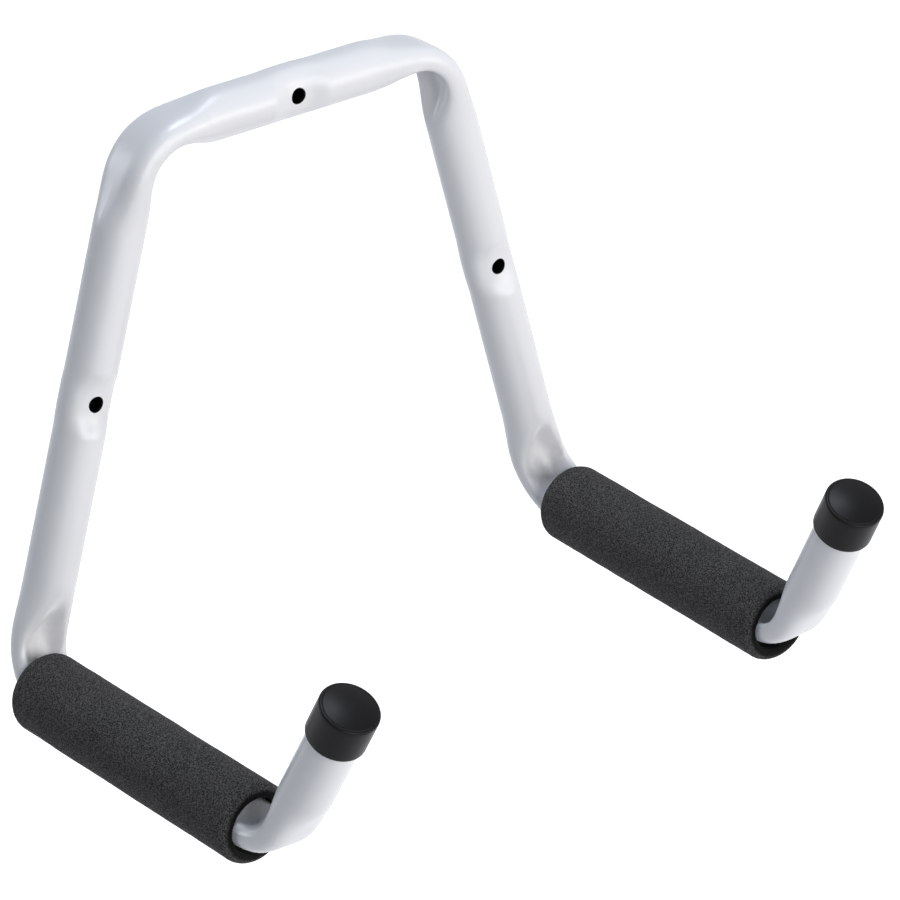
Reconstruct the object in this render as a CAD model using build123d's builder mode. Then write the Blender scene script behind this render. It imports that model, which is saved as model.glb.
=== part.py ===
from build123d import *
from math import asin, atan2, cos, degrees, exp, radians, sin, tan
from typing import NamedTuple
import os

# Wall rack for long handled tools: one crush bent steel tube, two foam sleeves, two end caps.
# +X is to the right as seen from the front, +Y points into the wall, +Z is up.
# The origin is on the axis of the top screw hole, where the back of the tube meets the wall.

# Driving dimensions, in millimetres and degrees

# Steel tube
tube_d = 22.2
tube_wall = 1.5

# Route of the tube's axis, measured to the corners where its straight runs would cross
top_half_width = 75.9
foot_half_width = 139.2
upright_drop = 228.7
arm_length = 167.5
arm_toe_in = 1.5
tip_length = 83.2
tip_lean_forward = 27.3
tip_lean_in = 3.3

# Crush bends: the die flattens the back, lowers the crown, swells the sides and the corners
# beside the back, and drives a valley that narrows towards its ends
bend_radius = 25.0
bend_fade = 19.0
bend_back_flat = 4.4
bend_crown_drop = 1.6
bend_side_swell = 2.0
bend_corner_swell = 1.2
bend_gap_left = 1.6
bend_valley_spread = 42.0
bend_valley_end = 0.35

# Dimples pressed round the screw holes
screw_hole_d = 7.0
side_hole_drop = 107.8
dimple_depth = 3.6
dimple_fade = 14.0
dimple_side_swell = 0.5
dimple_spread = 58.0

# Foam sleeves
sleeve_d = 35.2
sleeve_clearance = 0.3
sleeve_bend_clearance = 0.15
sleeve_length = 144.0
left_sleeve_gap = 8.5
right_sleeve_gap = 15.5
sleeve_edge = 4.0

# End caps
cap_wall = 1.5
cap_length = 19.0
cap_end_wall = 2.4
cap_dome = 1.4
cap_edge = 1.5
cap_lip = 0.5
cap_clearance = 0.1
left_cap_gap = 0.0
right_cap_gap = 4.8

# Where sections stand across a pressed stretch, as shares of the way from its middle to its end,
# closer together where the press fades, with the last ones on round tube past the end
bend_shares = (0, 0.5, 0.8, 1, 1.1, 1.2)
dimple_shares = (0, 0.3, 0.6, 0.85, 1, 1.15)
quarter_steps = 8

# Worked out from the dimensions above

tube_r = tube_d / 2
axis_y = -tube_r

into_wall = Vector(0, 1, 0)
leftward = Vector(-1, 0, 0)
arm_way = Vector(sin(radians(arm_toe_in)), -cos(radians(arm_toe_in)), 0)
tip_way = Vector(
    sin(radians(tip_lean_in)),
    -sin(radians(tip_lean_forward)) * cos(radians(tip_lean_in)),
    cos(radians(tip_lean_forward)) * cos(radians(tip_lean_in)),
)

top_centre = Vector(0, axis_y, 0)
top_corner = Vector(-top_half_width, axis_y, 0)
foot_corner = Vector(-foot_half_width, axis_y, -upright_drop)
front_corner = foot_corner + arm_way * arm_length
tip_end = front_corner + tip_way * tip_length
upright_way = (foot_corner - top_corner).normalized()
side_hole_centre = top_corner + upright_way * (side_hole_drop / -upright_way.Z)
far_hole_centre = Vector(-side_hole_centre.X, axis_y, side_hole_centre.Z)
screw_hole_centres = (top_centre, side_hole_centre, far_hole_centre)


class Press(NamedTuple):
    """How far a full press moves the tube's wall, and how wide its valley is, with the share
    of that width that is left at the valley's ends."""

    back_flat: float
    crown_drop: float
    side_swell: float
    corner_swell: float
    valley: float
    spread: float
    end_share: float


class Station(NamedTuple):
    """One section across the tube: its plane, and how far its wall is pressed on one side."""

    plane: Plane
    press: Press
    heading: float
    amount: float


bend_valley = tube_d - bend_back_flat - bend_crown_drop - 2 * tube_wall - bend_gap_left
bend_press = Press(
    back_flat=bend_back_flat,
    crown_drop=bend_crown_drop,
    side_swell=bend_side_swell,
    corner_swell=bend_corner_swell,
    valley=bend_valley,
    spread=bend_valley_spread,
    end_share=bend_valley_end,
)
dimple_press = Press(
    back_flat=0,
    crown_drop=0,
    side_swell=dimple_side_swell,
    corner_swell=0,
    valley=dimple_depth,
    spread=dimple_spread,
    end_share=1,
)


def turned(vector, pivot, angle):
    """The vector turned by an angle about a pivot direction."""
    return vector.rotate(Axis((0, 0, 0), pivot), angle)


def heading_of(plane, way):
    """Angle of a direction in a section plane, from the plane's x direction."""
    return degrees(atan2(way.dot(plane.y_dir), way.dot(plane.x_dir)))


def both_ways(shares):
    """The shares on both sides of the middle, from one end of a stretch to the other."""
    return [-share for share in reversed(shares[1:])] + list(shares)


def faded(share):
    """A press is full in its middle and fades smoothly to nothing at share -1 and 1."""
    return (1 - min(abs(share), 1) ** 3) ** 2


def bend(corner, way_in, way_out, side):
    """Stations through one crush bend, from round tube to round tube."""
    pivot = way_in.cross(way_out).normalized()
    inward = pivot.cross(way_in)
    turn = way_in.get_angle(way_out)
    start = corner - way_in * (bend_radius * tan(radians(turn / 2)))
    centre = start + inward * bend_radius
    heading = heading_of(Plane(start, x_dir=side, z_dir=way_in), inward)
    reach = radians(turn / 2) * bend_radius + bend_fade
    stations = []
    for share in both_ways(bend_shares):
        travelled = reach * share
        angle = max(-turn / 2, min(turn / 2, degrees(travelled / bend_radius)))
        straight = travelled - radians(angle) * bend_radius
        swung = angle + turn / 2
        way = turned(way_in, pivot, swung)
        origin = centre + turned(start - centre, pivot, swung) + way * straight
        plane = Plane(origin, x_dir=turned(side, pivot, swung), z_dir=way)
        stations.append(Station(plane, bend_press, heading, faded(share)))
    return stations


def dimple(centre, way, side):
    """Stations through the dimple that faces the front, round one screw hole."""
    stations = []
    for share in both_ways(dimple_shares):
        plane = Plane(centre + way * (share * dimple_fade), x_dir=side, z_dir=way)
        heading = heading_of(plane, -into_wall)
        stations.append(Station(plane, dimple_press, heading, faded(share)))
    return stations


def straight(start, end):
    """Round tube between the end of one pressed stretch and the start of the next."""
    return [start._replace(amount=0), end._replace(amount=0)]


def wall_point(station, radius, around):
    """A point of the tube's wall at a station, at an angle round the station's plane."""
    press, amount = station.press, station.amount
    off = (around - station.heading + 180) % 360 - 180
    inward = cos(radians(off))
    across = sin(radians(off))
    squeeze = press.crown_drop if inward > 0 else press.back_flat
    corner = 0 if inward > 0 else press.corner_swell * sin(radians(2 * off)) ** 2
    spread = press.spread * (press.end_share + (1 - press.end_share) * amount)
    valley = press.valley * exp(-((off / spread) ** 2))
    depth = inward * (radius + (corner - squeeze) * amount) - valley * amount
    width = across * (radius + (corner + press.side_swell) * amount)
    return Vector(depth, width).rotate(Axis.Z, station.heading)


def wall_run(station, radius, around):
    """Movement along the tube's wall for each degree round it, at the same point."""
    return wall_point(station, radius, around + 0.5) - wall_point(station, radius, around - 0.5)


def quarter(station, radius, start):
    """A quarter of the section at a station, from a starting angle, as one smooth edge."""
    shares = [step / quarter_steps for step in range(quarter_steps + 1)]
    points = [wall_point(station, radius, start + 90 * share) for share in shares]
    runs = [wall_run(station, radius, angle) * 90 for angle in (start, start + 90)]
    return Edge.make_spline(points, tangents=runs, parameters=shares, scale=False)


def rod(stations, radius):
    """A solid rod of one radius through the stations."""
    with BuildPart() as stretch:
        for station in stations:
            with BuildSketch(station.plane):
                with BuildLine():
                    for start in (0, 90, 180, 270):
                        add(quarter(station, radius, start))
                make_face()
        loft(ruled=len(stations) == 2)
    return stretch.part


# The left half of the route, from the middle of the top bar to the tip

top_dimple = dimple(top_centre, leftward, into_wall)
top_bend = bend(top_corner, leftward, upright_way, into_wall)
side_dimple = dimple(side_hole_centre, upright_way, top_bend[-1].plane.x_dir)
foot_bend = bend(foot_corner, upright_way, arm_way, side_dimple[-1].plane.x_dir)
front_bend = bend(front_corner, arm_way, tip_way, foot_bend[-1].plane.x_dir)
tip_plane = Plane(tip_end, x_dir=front_bend[-1].plane.x_dir, z_dir=tip_way)
tip_mouth = front_bend[-1]._replace(plane=tip_plane)

left_half = [
    straight(top_dimple[-1], top_bend[0]),
    top_bend,
    straight(top_bend[-1], side_dimple[0]),
    side_dimple,
    straight(side_dimple[-1], foot_bend[0]),
    foot_bend,
    straight(foot_bend[-1], front_bend[0]),
    front_bend,
    straight(front_bend[-1], tip_mouth),
]

# Bent tube: the outside and the bore follow the same route, a wall apart

outer_rods = [rod(stations, tube_r) for stations in left_half]
outer_middle = rod(top_dimple, tube_r)
bore_rods = [rod(stations, tube_r - tube_wall) for stations in left_half]
bore_middle = rod(top_dimple, tube_r - tube_wall)

with BuildPart() as tube_bore:
    for stretch in bore_rods:
        add(stretch)
    mirror(about=Plane.YZ)
    add(bore_middle)

with BuildPart() as tube_frame:
    for stretch in outer_rods:
        add(stretch)
    mirror(about=Plane.YZ)
    add(outer_middle)
    add(tube_bore.part, mode=Mode.SUBTRACT)
    for centre in screw_hole_centres:
        with Locations(Plane(centre, x_dir=(1, 0, 0), z_dir=-into_wall)):
            Hole(radius=screw_hole_d / 2, depth=tube_d)

# Foam sleeves, pushed over the arms and pressed out of shape by the bend at each end

bend_cores = [rod(stations, tube_r + sleeve_bend_clearance) for stations in (foot_bend, front_bend)]


def foam_sleeve(gap):
    """A sleeve on the left arm, a gap in front of the corner where the arm leaves the upright."""
    rear = Plane(foot_corner + arm_way * gap, x_dir=(0, 0, 1), z_dir=arm_way)
    with BuildPart() as sleeve:
        with BuildSketch(rear):
            Circle(sleeve_d / 2)
        extrude(amount=sleeve_length)
        fillet(sleeve.edges().filter_by(GeomType.CIRCLE), radius=sleeve_edge)
        with BuildSketch(rear):
            Circle(tube_r + sleeve_clearance)
        extrude(amount=sleeve_length, mode=Mode.SUBTRACT)
        for core in bend_cores:
            add(core, mode=Mode.SUBTRACT)
    return sleeve.part


with BuildPart() as left_foam_sleeve:
    add(foam_sleeve(left_sleeve_gap))

with BuildPart() as right_foam_sleeve:
    mirror(foam_sleeve(right_sleeve_gap), about=Plane.YZ)

# End caps: soft cups with domed ends, pushed over the tips by hand, the right one not fully home

cap_bore_r = tube_r + cap_clearance
cap_r = cap_bore_r + cap_wall
cap_top = cap_end_wall + cap_dome
cap_mouth = cap_top - cap_length
dome_r = (cap_r**2 + cap_dome**2) / (2 * cap_dome)
dome_sweep = degrees(asin(cap_r / dome_r))


def end_cap(gap):
    """A cap on the left tip, with a gap between the mouth of the tube and the end wall."""
    seat = tip_end + tip_way * gap
    with BuildPart() as cap:
        with BuildSketch(Plane(seat, x_dir=tip_plane.x_dir, z_dir=tip_plane.x_dir.cross(tip_way))) as profile:
            with BuildLine():
                Polyline((0, cap_top), (0, 0), (cap_bore_r, 0), (cap_bore_r, cap_mouth), (cap_r, cap_mouth))
                Line((cap_r, cap_mouth), (cap_r, cap_end_wall))
                CenterArc((0, cap_top - dome_r), dome_r, 90 - dome_sweep, dome_sweep)
            make_face()
            fillet(profile.vertices().filter_by_position(Axis.Y, cap_end_wall, cap_end_wall), cap_edge)
            fillet(profile.vertices().filter_by_position(Axis.Y, cap_mouth, cap_mouth), cap_lip)
        revolve(axis=Axis(seat, tip_way))
    return cap.part


with BuildPart() as left_end_cap:
    add(end_cap(left_cap_gap))

with BuildPart() as right_end_cap:
    mirror(end_cap(right_cap_gap), about=Plane.YZ)

os.makedirs("parts", exist_ok=True)

tube_frame.part.label = "tube_frame"
export_step(tube_frame.part, "parts/tube_frame.step")

left_foam_sleeve.part.label = "left_foam_sleeve"
export_step(left_foam_sleeve.part, "parts/left_foam_sleeve.step")

right_foam_sleeve.part.label = "right_foam_sleeve"
export_step(right_foam_sleeve.part, "parts/right_foam_sleeve.step")

left_end_cap.part.label = "left_end_cap"
export_step(left_end_cap.part, "parts/left_end_cap.step")

right_end_cap.part.label = "right_end_cap"
export_step(right_end_cap.part, "parts/right_end_cap.step")
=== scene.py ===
from math import asin, cos, pi, radians, sin

import bmesh
import bpy
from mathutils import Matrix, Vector, noise
from mathutils.bvhtree import BVHTree


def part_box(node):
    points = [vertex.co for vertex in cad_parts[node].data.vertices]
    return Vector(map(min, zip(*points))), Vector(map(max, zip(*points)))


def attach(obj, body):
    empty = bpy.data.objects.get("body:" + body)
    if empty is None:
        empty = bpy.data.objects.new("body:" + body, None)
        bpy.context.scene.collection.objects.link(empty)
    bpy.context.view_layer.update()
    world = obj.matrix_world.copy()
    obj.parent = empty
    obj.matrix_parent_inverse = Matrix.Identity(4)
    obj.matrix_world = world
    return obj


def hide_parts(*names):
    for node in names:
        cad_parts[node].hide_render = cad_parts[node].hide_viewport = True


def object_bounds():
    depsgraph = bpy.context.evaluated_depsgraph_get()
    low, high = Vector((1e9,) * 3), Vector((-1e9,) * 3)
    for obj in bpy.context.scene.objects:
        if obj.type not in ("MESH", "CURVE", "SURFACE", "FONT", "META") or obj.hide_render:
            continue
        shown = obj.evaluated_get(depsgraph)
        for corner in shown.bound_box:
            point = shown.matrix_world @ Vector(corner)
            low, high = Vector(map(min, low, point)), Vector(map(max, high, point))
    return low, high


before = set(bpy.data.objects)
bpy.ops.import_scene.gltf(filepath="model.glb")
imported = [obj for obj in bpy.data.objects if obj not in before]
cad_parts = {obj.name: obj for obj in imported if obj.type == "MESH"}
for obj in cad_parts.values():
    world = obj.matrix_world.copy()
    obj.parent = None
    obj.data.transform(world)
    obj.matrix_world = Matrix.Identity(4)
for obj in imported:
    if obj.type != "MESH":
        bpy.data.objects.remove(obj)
cad_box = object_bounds()

# Wall rack for long handled tools: a bent steel tube, two foam sleeves and two end caps.
# Metres, +X right, +Y into the wall, +Z up, as in the frame.

MM = 0.001
BODY = "root"

# Camera, fitted to the straight edges, the holes and the ends in the photo
CAMERA_PLACE = Vector((-1.18138, -1.59534, 0.83937))
CAMERA_TURN = (radians(63.0297), radians(0.1992), radians(-38.7294))
SENSOR_WIDTH = 36.0
LENS = 208.79

# Route of the tube's axis, as in the part's source
TUBE_AXIS_Y = -11.1 * MM
TOP_HALF_WIDTH = 75.9 * MM
FOOT_HALF_WIDTH = 139.2 * MM
UPRIGHT_DROP = 228.7 * MM
SIDE_HOLE_DROP = 107.8 * MM
ARM_LENGTH = 167.5 * MM
ARM_TOE_IN = radians(1.5)
TIP_LENGTH = 83.2 * MM
TIP_LEAN_FORWARD = radians(27.3)
TIP_LEAN_IN = radians(3.3)

# Screw holes: a point on the tube's axis and the tube's way there. The second is the right
# one, and stands for the left one too.
UPRIGHT_SPREAD = FOOT_HALF_WIDTH - TOP_HALF_WIDTH
SIDE_HOLE_X = TOP_HALF_WIDTH + UPRIGHT_SPREAD * SIDE_HOLE_DROP / UPRIGHT_DROP
SCREW_HOLES = (
    (Vector((0, TUBE_AXIS_Y, 0)), Vector((1, 0, 0))),
    (
        Vector((SIDE_HOLE_X, TUBE_AXIS_Y, -SIDE_HOLE_DROP)),
        Vector((UPRIGHT_SPREAD, 0, -UPRIGHT_DROP)).normalized(),
    ),
)

# Painted shade: near-black in the bores of the screw holes, and on the back half of the tube's
# inside by them
HOLE_SHADE_BORE_REACH = 3.6 * MM
HOLE_SHADE_INNER_RADIUS = 10.2 * MM
HOLE_SHADE_FRONT = -14.0 * MM
HOLE_SHADE_LENGTH = 40.0 * MM
HOLE_SHADE_TONE = (0.012, 0.012, 0.012, 1)

# Tones of the finishes, each a darker and a lighter one
COAT_TONES = ((0.725, 0.725, 0.735, 1), (0.74, 0.74, 0.745, 1))
FOAM_TONES = ((0.086, 0.084, 0.081, 1), (0.102, 0.099, 0.095, 1))
# Cut foam's darker tone, taken near-black as painted shade round the sleeves' bores
FOAM_CUT_SHADE_TONE = (0.005, 0.005, 0.005, 1)
VINYL_TONES = ((0.001, 0.001, 0.0015, 1), (0.002, 0.002, 0.0027, 1))

# Foam sleeves
SLEEVE_BORE = 11.55 * MM
SLEEVE_BACK_EDGE = 4.2 * MM
SLEEVE_BACK_LIP = 0.6 * MM
SLEEVE_FRONT_EDGE = 4.0 * MM
SLEEVE_FRONT_LIP = 2.0 * MM
SLEEVE_STEPS_ROUND = 144
SLEEVE_STEPS_ALONG = 150
SLEEVE_STEPS_EDGE = 7
SLEEVE_CLEARANCE = 0.12 * MM
# Cut ends: the foam's darker cut tone, near-black as painted shade round the bore, out to these
# radii from the axis
FRONT_CUT_SHADE_REACH = 15.9 * MM
BACK_CUT_SHADE_REACH = 13.2 * MM
CUT_SHADE_FADE = 1.2 * MM

# Uneven skin of the sleeves: depth, waves per metre with their weight, and how far it sinks
SKIN_DEPTH = 0.22 * MM
SKIN_WAVES = ((70, 0.7), (210, 0.3))
SKIN_SINK = 0.6

# End caps, measured from the seat on the mouth of the tube
CAP_RADIUS = 12.7 * MM
CAP_BORE = 11.2 * MM
CAP_MOUTH = -15.2 * MM
CAP_SHOULDER = 2.55 * MM
CAP_EDGE = 1.0 * MM
CAP_LIP = 0.6 * MM
CAP_DOME_TOP = 3.8 * MM
CAP_DOME_RADIUS = 50.0 * MM
CAP_DOME_REACH = 11.1 * MM
CAP_GROOVE = 0.16 * MM
CAP_GROOVE_EDGE = 0.06 * MM
CAP_STEPS_ROUND = 128
CAP_STEPS_DOME = 16
CAP_STEPS_SIDE = 7
CAP_STEPS_EDGE = 8
CAP_STEPS_GROOVE = 3
LEFT_CAP_GAP = 0.0
RIGHT_CAP_GAP = 4.8 * MM

# Closest distance of two points of a mesh that stay apart
MERGE_DISTANCE = 0.001 * MM

# Lamps: name, place, size, power, colour
LAMPS = (
    ("key", (2.06, -3.05, -0.28), 2.0, 54.0, (1.0, 0.95, 0.86)),
    ("fill", (-0.19, -3.56, 0.83), 2.6, 97.0, (0.94, 0.945, 0.98)),
    ("sky", (0.70, -0.02, 3.02), 1.2, 58.0, (0.82, 0.89, 1.0)),
    ("back", (-1.88, 2.59, 0.78), 1.5, 34.0, (0.88, 0.91, 0.98)),
)
LAMP_TARGET = Vector((0, -0.1, -0.1))
WORLD_LOW = (0.04, 0.05, 0.07, 1)
WORLD_HIGH = (0.05, 0.06, 0.08, 1)
WHITE = (1, 1, 1, 1)
FLOOR_TONE = (0.50, 0.50, 0.51, 1)
FLOOR_GLOW = 0.97
FLOOR_DROP = 0.4
FLOOR_SIZE = 12.0

# Sockets of the Mix node, by the kind of what it mixes: first, second and result
MIX_SOCKETS = {"FLOAT": (2, 3, 0), "RGBA": (6, 7, 2)}


def set_inputs(node, **values):
    """Sets a node's sockets by name; an underscore stands for a space."""
    for name, value in values.items():
        node.inputs[name.replace("_", " ")].default_value = value
    return node


def feed(tree, socket, value):
    """Gives a socket its value: a link from another socket, or a plain number or colour."""
    if isinstance(value, bpy.types.NodeSocket):
        tree.links.new(value, socket)
    else:
        socket.default_value = value


def add_math(tree, operation, first, second):
    """A sum on two numbers."""
    node = tree.nodes.new("ShaderNodeMath")
    node.operation = operation
    feed(tree, node.inputs[0], first)
    feed(tree, node.inputs[1], second)
    return node.outputs[0]


def add_vector_math(tree, operation, first, second):
    """A sum on two vectors."""
    node = tree.nodes.new("ShaderNodeVectorMath")
    node.operation = operation
    feed(tree, node.inputs[0], first)
    feed(tree, node.inputs[1], second)
    return node.outputs["Vector"]


def add_length(tree, vector):
    """The length of a vector."""
    node = tree.nodes.new("ShaderNodeVectorMath")
    node.operation = "LENGTH"
    feed(tree, node.inputs[0], vector)
    return node.outputs["Value"]


def add_mix(tree, kind, factor, first, second, blend_type="MIX"):
    """A mix of two numbers (FLOAT) or two colours (RGBA)."""
    node = tree.nodes.new("ShaderNodeMix")
    node.data_type = kind
    node.blend_type = blend_type
    first_slot, second_slot, result_slot = MIX_SOCKETS[kind]
    feed(tree, node.inputs[0], factor)
    feed(tree, node.inputs[first_slot], first)
    feed(tree, node.inputs[second_slot], second)
    return node.outputs[result_slot]


def new_group(name, inputs, outputs):
    """A shader node group with named sockets. Each input is (name, kind, default)."""
    group = bpy.data.node_groups.new(name, "ShaderNodeTree")
    for label, kind, default in inputs:
        socket = group.interface.new_socket(label, in_out="INPUT", socket_type=kind)
        if default is not None:
            socket.default_value = default
    for label, kind in outputs:
        group.interface.new_socket(label, in_out="OUTPUT", socket_type=kind)
    return group, group.nodes.new("NodeGroupInput"), group.nodes.new("NodeGroupOutput")


def build_cloudy_group():
    """Slow change of tone over a surface, between two colours."""
    inputs = (
        ("Coordinates", "NodeSocketVector", None),
        ("Patches per metre", "NodeSocketFloat", 20.0),
        ("First colour", "NodeSocketColor", None),
        ("Second colour", "NodeSocketColor", None),
    )
    outputs = (("Colour", "NodeSocketColor"), ("Mask", "NodeSocketFloat"))
    group, given, made = new_group("Cloudy tone", inputs, outputs)
    nodes, links = group.nodes, group.links
    clouds = set_inputs(nodes.new("ShaderNodeTexNoise"), Detail=3.0, Roughness=0.5)
    spread = set_inputs(nodes.new("ShaderNodeMapRange"), From_Min=0.2, From_Max=0.8)
    links.new(given.outputs["Coordinates"], clouds.inputs["Vector"])
    links.new(given.outputs["Patches per metre"], clouds.inputs["Scale"])
    links.new(clouds.outputs["Fac"], spread.inputs["Value"])
    mask = spread.outputs["Result"]
    colour = add_mix(
        group, "RGBA", mask, given.outputs["First colour"], given.outputs["Second colour"]
    )
    links.new(colour, made.inputs["Colour"])
    links.new(mask, made.inputs["Mask"])
    return group


def build_relief_group():
    """Fine relief: cells and a softer grain as a height, and a mask that is 0 in the pits."""
    inputs = (
        ("Coordinates", "NodeSocketVector", None),
        ("Cells per metre", "NodeSocketFloat", 1000.0),
        ("Grain per metre", "NodeSocketFloat", 500.0),
        ("Cell share", "NodeSocketFloat", 0.5),
    )
    outputs = (("Height", "NodeSocketFloat"), ("Pits", "NodeSocketFloat"))
    group, given, made = new_group("Fine relief", inputs, outputs)
    nodes, links = group.nodes, group.links
    cells = nodes.new("ShaderNodeTexVoronoi")
    grain = set_inputs(nodes.new("ShaderNodeTexNoise"), Detail=4.0, Roughness=0.6)
    pits = set_inputs(nodes.new("ShaderNodeMapRange"), From_Min=0.28, From_Max=0.62)
    for texture, scale in ((cells, "Cells per metre"), (grain, "Grain per metre")):
        links.new(given.outputs["Coordinates"], texture.inputs["Vector"])
        links.new(given.outputs[scale], texture.inputs["Scale"])
    height = add_mix(
        group, "FLOAT", given.outputs["Cell share"], grain.outputs["Fac"], cells.outputs["Distance"]
    )
    links.new(height, made.inputs["Height"])
    links.new(height, pits.inputs["Value"])
    links.new(pits.outputs["Result"], made.inputs["Pits"])
    return group


CLOUDY = build_cloudy_group()
RELIEF = build_relief_group()


def place_group(tree, group, coordinates, **values):
    """One group in a material's tree, reading the object's own coordinates."""
    node = tree.nodes.new("ShaderNodeGroup")
    node.node_tree = group
    set_inputs(node, **values)
    tree.links.new(coordinates.outputs["Object"], node.inputs["Coordinates"])
    return node


def place_tones(tree, coordinates, tones, patches):
    """The cloudy group between two tones, with so many patches in a metre."""
    return place_group(
        tree, CLOUDY, coordinates, Patches_per_metre=patches, First_colour=tones[0],
        Second_colour=tones[1],
    )


def start_material(name, **values):
    """A material with its Principled shader's constants set, and its coordinates."""
    material = bpy.data.materials.new(name)
    material.use_nodes = True
    tree = material.node_tree
    shader = set_inputs(tree.nodes["Principled BSDF"], **values)
    return material, tree, shader, tree.nodes.new("ShaderNodeTexCoord")


def add_bump(tree, shader, relief, strength, distance):
    """Bump from a relief group's height."""
    bump = set_inputs(tree.nodes.new("ShaderNodeBump"), Strength=strength, Distance=distance)
    tree.links.new(relief.outputs["Height"], bump.inputs["Height"])
    tree.links.new(bump.outputs["Normal"], shader.inputs["Normal"])


def vary_roughness(tree, shader, mask, at_zero, at_one):
    """Roughness that follows a mask between two values."""
    levels = set_inputs(tree.nodes.new("ShaderNodeMapRange"), To_Min=at_zero, To_Max=at_one)
    tree.links.new(mask, levels.inputs["Value"])
    tree.links.new(levels.outputs["Result"], shader.inputs["Roughness"])


def find_hole_shade(tree, coordinates):
    """1 in the bores of the screw holes and on the tube's inside behind them, where near-black
    shade is painted, else 0.
    """
    split = tree.nodes.new("ShaderNodeSeparateXYZ")
    folded = tree.nodes.new("ShaderNodeCombineXYZ")
    tree.links.new(coordinates.outputs["Object"], split.inputs[0])
    feed(tree, folded.inputs["X"], add_math(tree, "ABSOLUTE", split.outputs["X"], 0.0))
    feed(tree, folded.inputs["Y"], split.outputs["Y"])
    feed(tree, folded.inputs["Z"], split.outputs["Z"])
    behind = add_math(tree, "GREATER_THAN", split.outputs["Y"], HOLE_SHADE_FRONT)
    hole_shade = 0.0
    for centre, way in SCREW_HOLES:
        offset = add_vector_math(tree, "SUBTRACT", folded.outputs[0], centre)
        along = add_vector_math(tree, "PROJECT", offset, way)
        across = add_vector_math(tree, "SUBTRACT", offset, along)
        flat = add_vector_math(tree, "MULTIPLY", offset, (1, 0, 1))
        bore = add_math(tree, "LESS_THAN", add_length(tree, flat), HOLE_SHADE_BORE_REACH)
        inner = add_math(tree, "LESS_THAN", add_length(tree, across), HOLE_SHADE_INNER_RADIUS)
        close = add_math(tree, "LESS_THAN", add_length(tree, along), HOLE_SHADE_LENGTH)
        inside = add_math(tree, "MINIMUM", add_math(tree, "MINIMUM", inner, close), behind)
        hole_shade = add_math(tree, "MAXIMUM", add_math(tree, "MAXIMUM", bore, inside), hole_shade)
    return hole_shade


def build_powder_coat():
    """Light grey powder coat: glossy, with a faint orange peel, and near-black painted shade in the
    screw holes and on the tube's inside behind them.
    """
    material, tree, shader, coordinates = start_material("powder coat", IOR=1.5)
    cloudy = place_tones(tree, coordinates, COAT_TONES, patches=26.0)
    relief = place_group(
        tree, RELIEF, coordinates, Cells_per_metre=900.0, Grain_per_metre=420.0, Cell_share=0.1
    )
    hole_shade = find_hole_shade(tree, coordinates)
    # Near-black painted shade over the coat in the screw holes and on the tube's inside behind them
    colour = add_mix(tree, "RGBA", hole_shade, cloudy.outputs["Colour"], HOLE_SHADE_TONE)
    tree.links.new(colour, shader.inputs["Base Color"])
    vary_roughness(tree, shader, cloudy.outputs["Mask"], at_zero=0.26, at_one=0.33)
    add_bump(tree, shader, relief, strength=0.12, distance=0.15 * MM)
    return material


def build_foam():
    """Black closed cell foam: matte, with fine pits in its skin and painted shade in them, and
    darker where it is cut, near-black there as painted shade round the bore.
    """
    material, tree, shader, coordinates = start_material(
        "black foam", IOR=1.45, Specular_IOR_Level=0.08
    )
    cloudy = place_tones(tree, coordinates, FOAM_TONES, patches=60.0)
    relief = place_group(
        tree, RELIEF, coordinates, Cells_per_metre=1750.0, Grain_per_metre=2200.0, Cell_share=0.75
    )
    # Cut ends: darker cut foam, near-black there as painted shade round the bore
    cut_shade = tree.nodes.new("ShaderNodeAttribute")
    cut_shade.attribute_name = "cut_face_shade"
    pits = relief.outputs["Pits"]
    # Painted shade in the pits: the foam's colour is darkened to black at their bottoms
    pit_shaded = add_mix(tree, "RGBA", 1.0, cloudy.outputs["Colour"], pits, blend_type="MULTIPLY")
    colour = add_mix(tree, "RGBA", cut_shade.outputs["Fac"], pit_shaded, FOAM_CUT_SHADE_TONE)
    tree.links.new(colour, shader.inputs["Base Color"])
    vary_roughness(tree, shader, pits, at_zero=0.95, at_one=0.7)
    add_bump(tree, shader, relief, strength=0.9, distance=0.45 * MM)
    return material


def build_vinyl():
    """Black soft vinyl: smooth and satin, with a fine moulded grain."""
    material, tree, shader, coordinates = start_material(
        "black vinyl", IOR=1.5, Specular_IOR_Level=0.12
    )
    cloudy = place_tones(tree, coordinates, VINYL_TONES, patches=90.0)
    relief = place_group(
        tree, RELIEF, coordinates, Cells_per_metre=2200.0, Grain_per_metre=1500.0, Cell_share=0.2
    )
    tree.links.new(cloudy.outputs["Colour"], shader.inputs["Base Color"])
    vary_roughness(tree, shader, cloudy.outputs["Mask"], at_zero=0.33, at_one=0.40)
    add_bump(tree, shader, relief, strength=0.15, distance=0.08 * MM)
    return material


def dress(obj, material):
    """Gives a piece one material in all its slots."""
    if not obj.material_slots:
        obj.data.materials.append(material)
    for held in obj.material_slots:
        held.material = material


def draw_profile(bm, corners):
    """A line of edges through (radius, height) corners, in the plane that is spun about z."""
    verts = [bm.verts.new((radius, 0, height)) for radius, height in corners]
    for first, second in zip(verts, verts[1:]):
        bm.edges.new((first, second))
    return verts


def round_corners(bm, corners, radius, steps):
    """Rounds corners of a profile."""
    bmesh.ops.bevel(
        bm, geom=corners, offset=radius, offset_type="OFFSET", segments=steps, profile=0.5,
        affect="VERTICES", material=-1,
    )


def spin_profile(bm, steps):
    """Turns the whole profile about z into a closed skin."""
    bmesh.ops.spin(
        bm, geom=bm.verts[:] + bm.edges[:], cent=(0, 0, 0), axis=(0, 0, 1), dvec=(0, 0, 0),
        angle=2 * pi, steps=steps, use_merge=True,
    )
    bmesh.ops.remove_doubles(bm, verts=bm.verts, dist=MERGE_DISTANCE)


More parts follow.
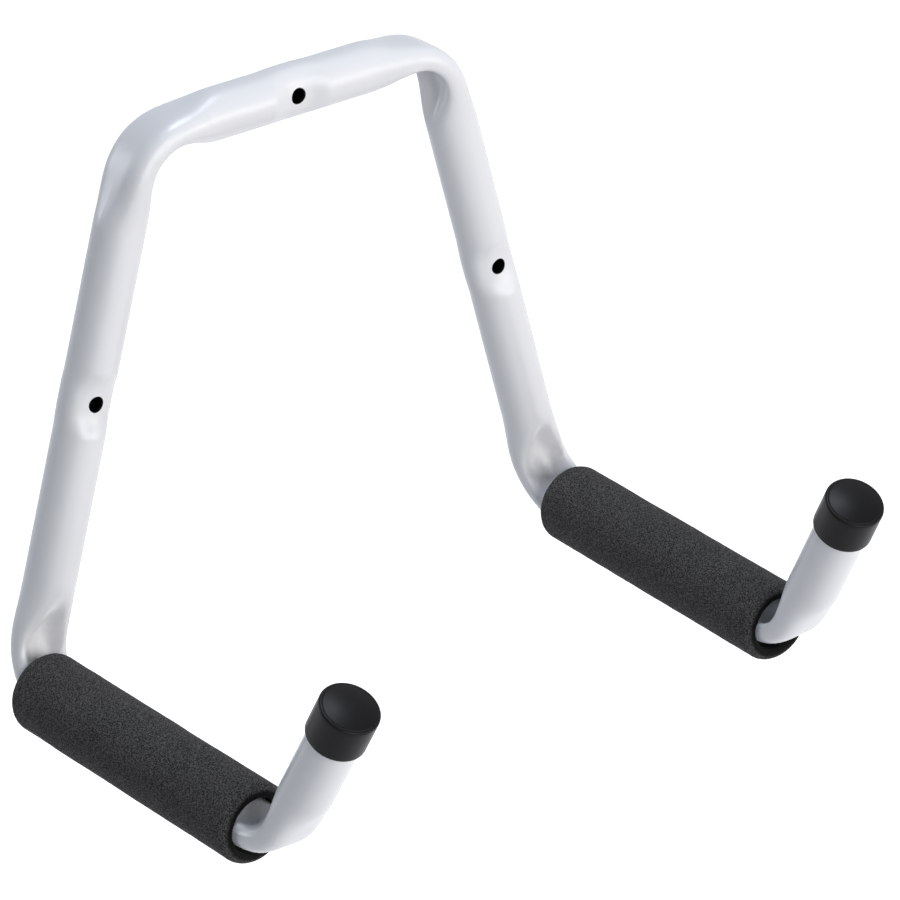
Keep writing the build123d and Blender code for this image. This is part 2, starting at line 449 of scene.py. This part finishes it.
def stand_along(bm, way, start):
    """Turns a piece from +Z to its way, and moves it from the origin to its start."""
    turn = Vector((0, 0, 1)).rotation_difference(way).to_matrix().to_4x4()
    bmesh.ops.transform(bm, matrix=turn, verts=bm.verts)
    bmesh.ops.translate(bm, vec=start, verts=bm.verts)


def mesh_piece(name, bm):
    """A smooth shaded object, at the origin, from a finished bmesh."""
    bmesh.ops.recalc_face_normals(bm, faces=bm.faces)
    for face in bm.faces:
        face.smooth = True
    mesh = bpy.data.meshes.new(name)
    bm.to_mesh(mesh)
    bm.free()
    obj = bpy.data.objects.new(name, mesh)
    bpy.context.scene.collection.objects.link(obj)
    return obj


def tube_surface():
    """The steel tube's surface, to press soft pieces against."""
    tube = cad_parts["tube_frame"]
    return BVHTree.FromObject(tube, bpy.context.evaluated_depsgraph_get())


def draw_sleeve(bm, outer, length):
    """The outline of a sleeve's wall, from its back end up; the lips are the bore's two ends."""
    corners = ((SLEEVE_BORE, 0), (outer, 0), (outer, length), (SLEEVE_BORE, length))
    back_lip, back_edge, front_edge, front_lip = draw_profile(bm, corners)
    bm.edges.new((front_lip, back_lip))
    round_corners(bm, [back_edge], SLEEVE_BACK_EDGE, SLEEVE_STEPS_EDGE)
    round_corners(bm, [front_edge], SLEEVE_FRONT_EDGE, SLEEVE_STEPS_EDGE)
    round_corners(bm, [back_lip], SLEEVE_BACK_LIP, SLEEVE_STEPS_EDGE)
    round_corners(bm, [front_lip], SLEEVE_FRONT_LIP, SLEEVE_STEPS_EDGE)
    runs = [edge for edge in bm.edges if edge.calc_length() > length / 2]
    bmesh.ops.subdivide_edges(bm, edges=runs, cuts=SLEEVE_STEPS_ALONG)


def settle_foam(bm, start, along, outer, length, tube):
    """Marks the cut ends, where the foam's darker cut tone is painted near-black as shade round the
    bore, makes the skin uneven as cut foam is, and presses it off the steel.
    """
    cut_face_shade = bm.verts.layers.float["cut_face_shade"]
    for vert in bm.verts:
        out = vert.co - start
        depth = out.dot(along)
        out -= along * depth
        reach = FRONT_CUT_SHADE_REACH if depth > length / 2 else BACK_CUT_SHADE_REACH
        vert[cut_face_shade] = min(1.0, max(0.0, (reach - out.length) / CUT_SHADE_FADE))
        wave = sum(noise.noise(vert.co * count) * weight for count, weight in SKIN_WAVES)
        share = max(0.0, (out.length - SLEEVE_BORE) / (outer - SLEEVE_BORE))
        vert.co += out.normalized() * (wave - SKIN_SINK) * SKIN_DEPTH * share
        near, normal, _, _ = tube.find_nearest(vert.co)
        if (vert.co - near).dot(normal) < SLEEVE_CLEARANCE:
            vert.co = near + normal * SLEEVE_CLEARANCE


def build_sleeve(name, node, toe_in, tube):
    """A foam sleeve on its arm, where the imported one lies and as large."""
    low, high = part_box(node)
    outer = (high.z - low.z) / 2
    along = Vector((sin(toe_in), -cos(toe_in), 0))
    length = (high.y - low.y - 2 * outer * abs(sin(toe_in))) / cos(toe_in)
    start = (low + high) / 2 - along * length / 2
    bm = bmesh.new()
    bm.verts.layers.float.new("cut_face_shade")
    draw_sleeve(bm, outer, length)
    spin_profile(bm, SLEEVE_STEPS_ROUND)
    stand_along(bm, along, start)
    settle_foam(bm, start, along, outer, length, tube)
    piece = mesh_piece(name, bm)
    dress(piece, FOAM)
    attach(piece, BODY)
    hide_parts(node)


def draw_cap(bm):
    """The outline of a cap's wall: hollow, mouth, side, rim, groove and dome."""
    _, _, mouth_lip, mouth_edge, shoulder, rim, groove = draw_profile(bm, (
        (0, 0),
        (CAP_BORE, 0),
        (CAP_BORE, CAP_MOUTH),
        (CAP_RADIUS, CAP_MOUTH),
        (CAP_RADIUS, CAP_SHOULDER),
        (CAP_DOME_REACH + 2 * CAP_GROOVE, CAP_SHOULDER),
        (CAP_DOME_REACH + CAP_GROOVE, CAP_SHOULDER - CAP_GROOVE),
    ))
    dome = bm.verts.new((0, 0, CAP_DOME_TOP))
    arc = bmesh.ops.spin(
        bm, geom=[dome], cent=(0, 0, CAP_DOME_TOP - CAP_DOME_RADIUS), axis=(0, 1, 0),
        dvec=(0, 0, 0), angle=asin(CAP_DOME_REACH / CAP_DOME_RADIUS), steps=CAP_STEPS_DOME,
        use_merge=False,
    )
    dome_edge = next(item for item in arc["geom_last"] if isinstance(item, bmesh.types.BMVert))
    bm.edges.new((groove, dome_edge))
    round_corners(bm, [mouth_lip, mouth_edge], CAP_LIP, CAP_STEPS_EDGE)
    round_corners(bm, [shoulder], CAP_EDGE, CAP_STEPS_EDGE)
    round_corners(bm, [rim, groove, dome_edge], CAP_GROOVE_EDGE, CAP_STEPS_GROOVE)
    sides = [edge for edge in bm.edges if edge.calc_length() > CAP_RADIUS]
    bmesh.ops.subdivide_edges(bm, edges=sides, cuts=CAP_STEPS_SIDE)


def find_cap_seat(gap, side):
    """A cap's seat and way; gap is from the tube's end, side is 1 for left and -1 for right."""
    foot = Vector((-FOOT_HALF_WIDTH, TUBE_AXIS_Y, -UPRIGHT_DROP))
    arm_way = Vector((sin(ARM_TOE_IN), -cos(ARM_TOE_IN), 0))
    tip_way = Vector((
        sin(TIP_LEAN_IN),
        -sin(TIP_LEAN_FORWARD) * cos(TIP_LEAN_IN),
        cos(TIP_LEAN_FORWARD) * cos(TIP_LEAN_IN),
    ))
    seat = foot + arm_way * ARM_LENGTH + tip_way * (TIP_LENGTH + gap)
    seat.x *= side
    tip_way.x *= side
    return seat, tip_way


def build_cap(name, node, gap, side):
    """A moulded cap on one tip."""
    seat, tip_way = find_cap_seat(gap, side)
    bm = bmesh.new()
    draw_cap(bm)
    spin_profile(bm, CAP_STEPS_ROUND)
    stand_along(bm, tip_way, seat)
    piece = mesh_piece(name, bm)
    dress(piece, VINYL)
    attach(piece, BODY)
    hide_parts(node)


def add_camera():
    """The photo's camera."""
    data = bpy.data.cameras.new("camera")
    data.sensor_width = SENSOR_WIDTH
    data.lens = LENS
    camera = bpy.data.objects.new("camera", data)
    camera.location = CAMERA_PLACE
    camera.rotation_euler = CAMERA_TURN
    bpy.context.scene.collection.objects.link(camera)
    bpy.context.scene.camera = camera


def add_lamp(name, place, size, power, colour):
    """A soft square lamp that faces the rack."""
    data = bpy.data.lights.new(name, "AREA")
    data.shape = "SQUARE"
    data.size = size
    data.energy = power
    data.color = colour
    lamp = bpy.data.objects.new(name, data)
    lamp.location = place
    lamp.rotation_euler = (LAMP_TARGET - Vector(place)).to_track_quat("-Z", "Y").to_euler()
    bpy.context.scene.collection.objects.link(lamp)


def seen_directly(tree):
    """1 on camera, glossy and transmission rays, which see the plain background."""
    rays = tree.nodes.new("ShaderNodeLightPath").outputs
    seen = add_math(tree, "MAXIMUM", rays["Is Camera Ray"], rays["Is Glossy Ray"])
    return add_math(tree, "MAXIMUM", seen, rays["Is Transmission Ray"])


def add_world():
    """Dim at the horizon and brighter overhead for the object, plain white as a background."""
    world = bpy.data.worlds.new("studio")
    bpy.context.scene.world = world
    world.use_nodes = True
    tree = world.node_tree
    way = tree.nodes.new("ShaderNodeTexCoord")
    split = tree.nodes.new("ShaderNodeSeparateXYZ")
    height = set_inputs(tree.nodes.new("ShaderNodeMapRange"), From_Min=-0.2, From_Max=1.0)
    light = tree.nodes["Background"]
    white = set_inputs(tree.nodes.new("ShaderNodeBackground"), Color=WHITE, Strength=1.0)
    mixed = tree.nodes.new("ShaderNodeMixShader")
    tree.links.new(way.outputs["Generated"], split.inputs[0])
    tree.links.new(split.outputs["Z"], height.inputs["Value"])
    sky = add_mix(tree, "RGBA", height.outputs["Result"], WORLD_LOW, WORLD_HIGH)
    tree.links.new(sky, light.inputs["Color"])
    tree.links.new(seen_directly(tree), mixed.inputs[0])
    tree.links.new(light.outputs[0], mixed.inputs[1])
    tree.links.new(white.outputs[0], mixed.inputs[2])
    tree.links.new(mixed.outputs[0], tree.nodes["World Output"].inputs["Surface"])


def add_floor():
    """A plain floor below the rack that glows white where it is seen, and keeps its shadow."""
    material, tree, shader, _ = start_material(
        "floor", Base_Color=FLOOR_TONE, Roughness=1.0, Emission_Color=WHITE
    )
    glow = add_math(tree, "MULTIPLY", seen_directly(tree), FLOOR_GLOW)
    tree.links.new(glow, shader.inputs["Emission Strength"])
    bm = bmesh.new()
    bmesh.ops.create_grid(bm, x_segments=1, y_segments=1, size=FLOOR_SIZE / 2)
    bmesh.ops.translate(bm, vec=(0, 0, cad_box[0].z - FLOOR_DROP), verts=bm.verts)
    floor = mesh_piece("floor", bm)
    dress(floor, material)


POWDER_COAT = build_powder_coat()
FOAM = build_foam()
VINYL = build_vinyl()

dress(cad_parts["tube_frame"], POWDER_COAT)

tube_skin = tube_surface()
build_sleeve("left_sleeve_foam", "left_foam_sleeve", ARM_TOE_IN, tube_skin)
build_sleeve("right_sleeve_foam", "right_foam_sleeve", -ARM_TOE_IN, tube_skin)
build_cap("left_cap_vinyl", "left_end_cap", LEFT_CAP_GAP, 1)
build_cap("right_cap_vinyl", "right_end_cap", RIGHT_CAP_GAP, -1)

add_camera()
for lamp in LAMPS:
    add_lamp(*lamp)
add_world()
add_floor()

bpy.context.scene.view_settings.view_transform = "Standard"
